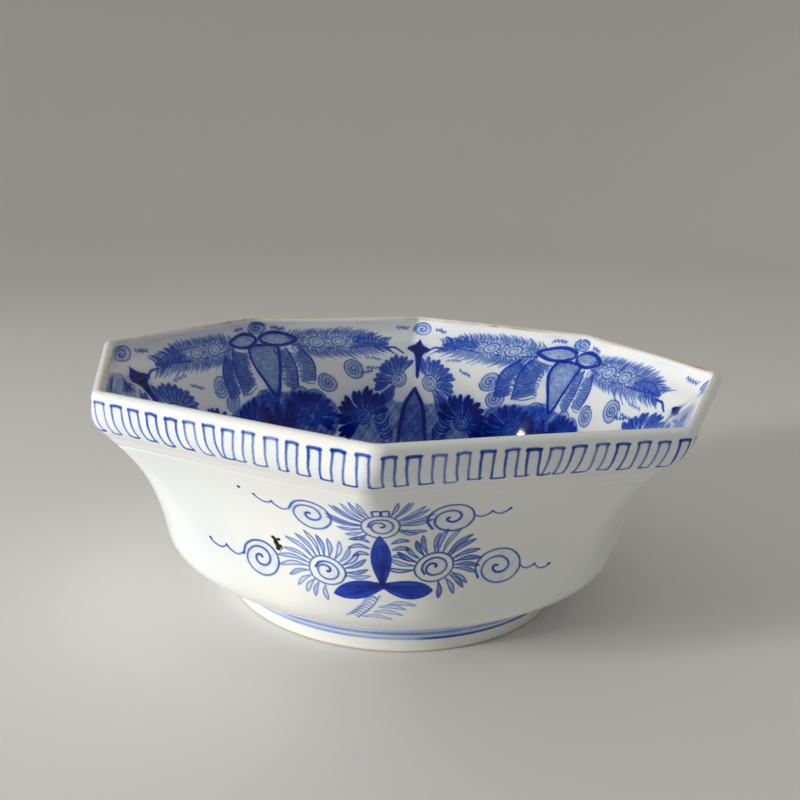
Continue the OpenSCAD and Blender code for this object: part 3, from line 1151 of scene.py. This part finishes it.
def glaze_material(name, bare_foot=False):
    """A clear glossy glaze over white porcelain, with blue painted underneath it."""
    n = Nodes(name)
    # The glaze is faintly green and blue where it lies thicker, and warmer where thin.
    glaze = n.ramp(n.remap(n.noise(22, 3.0), 0.3, 0.7), [
        (0.0, (241, 241, 236)), (0.5, (237, 240, 237)), (1.0, (230, 236, 237)),
    ])
    # Tiny rusty specks, which ash and iron leave in the glaze.
    specks = n.remap(n.noise(1100, 1.0), 0.79, 0.83, 0.0, 0.35)
    glaze = n.mix(specks, glaze, linear(150, 128, 104))
    # Pigment: granular, and darker where the brush left more.
    load = n.remap(n.noise(520, 3.0, 0.65), 0.25, 0.75, 0.86, 1.14)
    flow = n.remap(n.noise(80, 2.0), 0.3, 0.7, 0.9, 1.1)
    pigment = n.math("MULTIPLY", n.attribute("pigment"), n.math("MULTIPLY", load, flow))
    blue = n.ramp(n.math("DIVIDE", pigment, PIGMENT_TOP, clamp=True),
                  [(at / PIGMENT_TOP, rgb) for at, rgb in BLUES])
    colour = n.mix(n.remap(pigment, 0.0, 0.14), glaze, blue)
    # Iron: tan where the glaze draws back from the rim, dark brown to black where it gathers.
    iron = n.math("MULTIPLY", n.attribute("iron"),
                  n.remap(n.noise(160, 3.0), 0.3, 0.7, 0.75, 1.25))
    rust = n.ramp(iron, [
        (0.0, (226, 216, 198)), (0.3, (196, 176, 146)), (0.5, (110, 84, 60)), (0.75, (9, 8, 9)),
    ])
    colour = n.mix(n.remap(iron, 0.0, 0.4), colour, rust)
    gloss = n.remap(n.noise(60, 2.0), 0.2, 0.8, 0.07, 0.13)
    if bare_foot:
        # The resting face is bare clay, with a warm line where the glaze stops.
        clay = n.ramp(n.noise(700, 4.0, 0.7), [
            (0.3, (214, 200, 178)), (0.5, (228, 219, 203)), (0.7, (205, 184, 156)),
        ])
        height = n.add("SeparateXYZ", {"Vector": n.place}).outputs["Z"]
        edge = n.math("ADD", height, n.remap(n.noise(120, 2.0), 0.3, 0.7, -0.0002, 0.0002))
        glazed = n.remap(edge, 0.0003, 0.0005)
        warm_line = n.ramp(n.remap(edge, 0.0003, 0.0010),
                           [(0.0, (224, 208, 186)), (1.0, (238, 238, 232))])
        colour = n.mix(n.remap(edge, 0.0006, 0.0010), warm_line, colour)
        colour = n.mix(glazed, clay, colour)
        gloss = n.math("ADD", gloss, n.remap(glazed, 0.0, 1.0, 0.55, 0.0))
    # Faint waves in the glaze, and a finer orange peel.
    waves = n.bump(n.noise(45, 1.0), 0.0002, 0.5)
    peel = n.bump(n.noise(420, 2.0), 0.00002, 0.5, Normal=waves)
    n.fill(n.shader, {
        "Base Color": colour, "Roughness": gloss, "Normal": peel,
        "IOR": 1.5, "Specular IOR Level": 0.35,
    })
    return n.material


glaze = glaze_material("glaze")
foot_glaze = glaze_material("foot_glaze", bare_foot=True)

collar = [(collar_inside, WHOLE), (collar_rim, TRIMMED), (collar_outside, WHOLE)]
wall = [(wall_outside, WHOLE)], [(wall_inside, WHOLE)]
for node, piece, material, slot in (
    ("foot_ring", ring_piece("glazed_foot_ring", [(foot_surface, WHOLE)]), foot_glaze, "foot"),
    ("bowl_floor", floor_piece("glazed_bowl_floor"), glaze, "glaze"),
    ("bowl_wall", ring_piece("glazed_bowl_wall", *wall), glaze, "glaze"),
    ("rim_collar", ring_piece("glazed_rim_collar", collar), glaze, "glaze"),
):
    piece.data.materials.append(material)
    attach(piece, "root")
    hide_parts(node)


# -------- stage, lights and camera

def backdrop(name, reach, bend, height, around=96):
    """A round floor whose edge curves up into a wall, so that no horizon shows."""
    rise = np.radians(range(5, 91, 5))
    radii = [*np.linspace(0.5, reach, 12), *(reach + bend * np.sin(rise)), reach + bend]
    heights = [*np.zeros(12), *(bend * (1 - np.cos(rise))), height]
    angle = 2 * math.pi * np.arange(around) / around
    points = [(0, 0, 0)]
    for r, z in zip(radii, heights):
        points += zip(r * np.cos(angle), r * np.sin(angle), np.full(around, z))
    here = 1 + np.arange(len(radii) * around).reshape(-1, around)
    beside = np.roll(here, -1, axis=1)
    faces = [(0, *pair) for pair in zip(here[0], beside[0])]
    faces += zip(*(part.ravel() for part in (here[:-1], here[1:], beside[1:], beside[:-1])))
    mesh = bpy.data.meshes.new(name)
    mesh.from_pydata(points, [], faces)
    mesh.polygons.foreach_set("use_smooth", [True] * len(faces))
    return linked(name, mesh)


floor = backdrop("studio_floor", reach=3.0, bend=1.5, height=3.5)
paper = Nodes("studio_paper")
paper.fill(paper.shader, {"Base Color": linear(226, 224, 220), "Roughness": 0.7})
floor.data.materials.append(paper.material)


def aim(obj, position, target, roll_degrees=0.0):
    """Puts obj at position, facing target, turned about its own line of sight."""
    position, target = Vector(position), Vector(target)
    facing = (target - position).to_track_quat("-Z", "Y").to_matrix().to_4x4()
    roll = Matrix.Rotation(math.radians(roll_degrees), 4, "Z")
    obj.matrix_world = Matrix.Translation(position) @ facing @ roll


def softbox(name, position, target, size, spread_degrees, watts, colour):
    data = bpy.data.lights.new(name, "AREA")
    data.shape = "RECTANGLE"
    data.spread = math.radians(spread_degrees)
    data.size, data.size_y = size
    data.energy = watts
    data.color = colour
    aim(linked(name, data), position, target)


softbox("window", position=(-1.45, -0.72, 0.335), target=(0, 0, 0.05), size=(0.24, 0.5),
        spread_degrees=80, watts=4.9, colour=(1.0, 0.99, 0.975))

world = bpy.data.worlds.new("studio")
bpy.context.scene.world = world
world.use_nodes = True
background = world.node_tree.nodes["Background"]
background.inputs["Color"].default_value = (1.0, 0.985, 0.955, 1.0)
background.inputs["Strength"].default_value = 0.48

bpy.context.scene.view_settings.view_transform = "Standard"

lens = bpy.data.cameras.new("camera")
lens.sensor_width = 36
lens.lens = 34.05
camera = linked("camera", lens)
aim(camera, position=(0.0159, -0.2835, 0.1388), target=(-0.0006, 0, 0.0696), roll_degrees=2.5)
bpy.context.scene.camera = camera
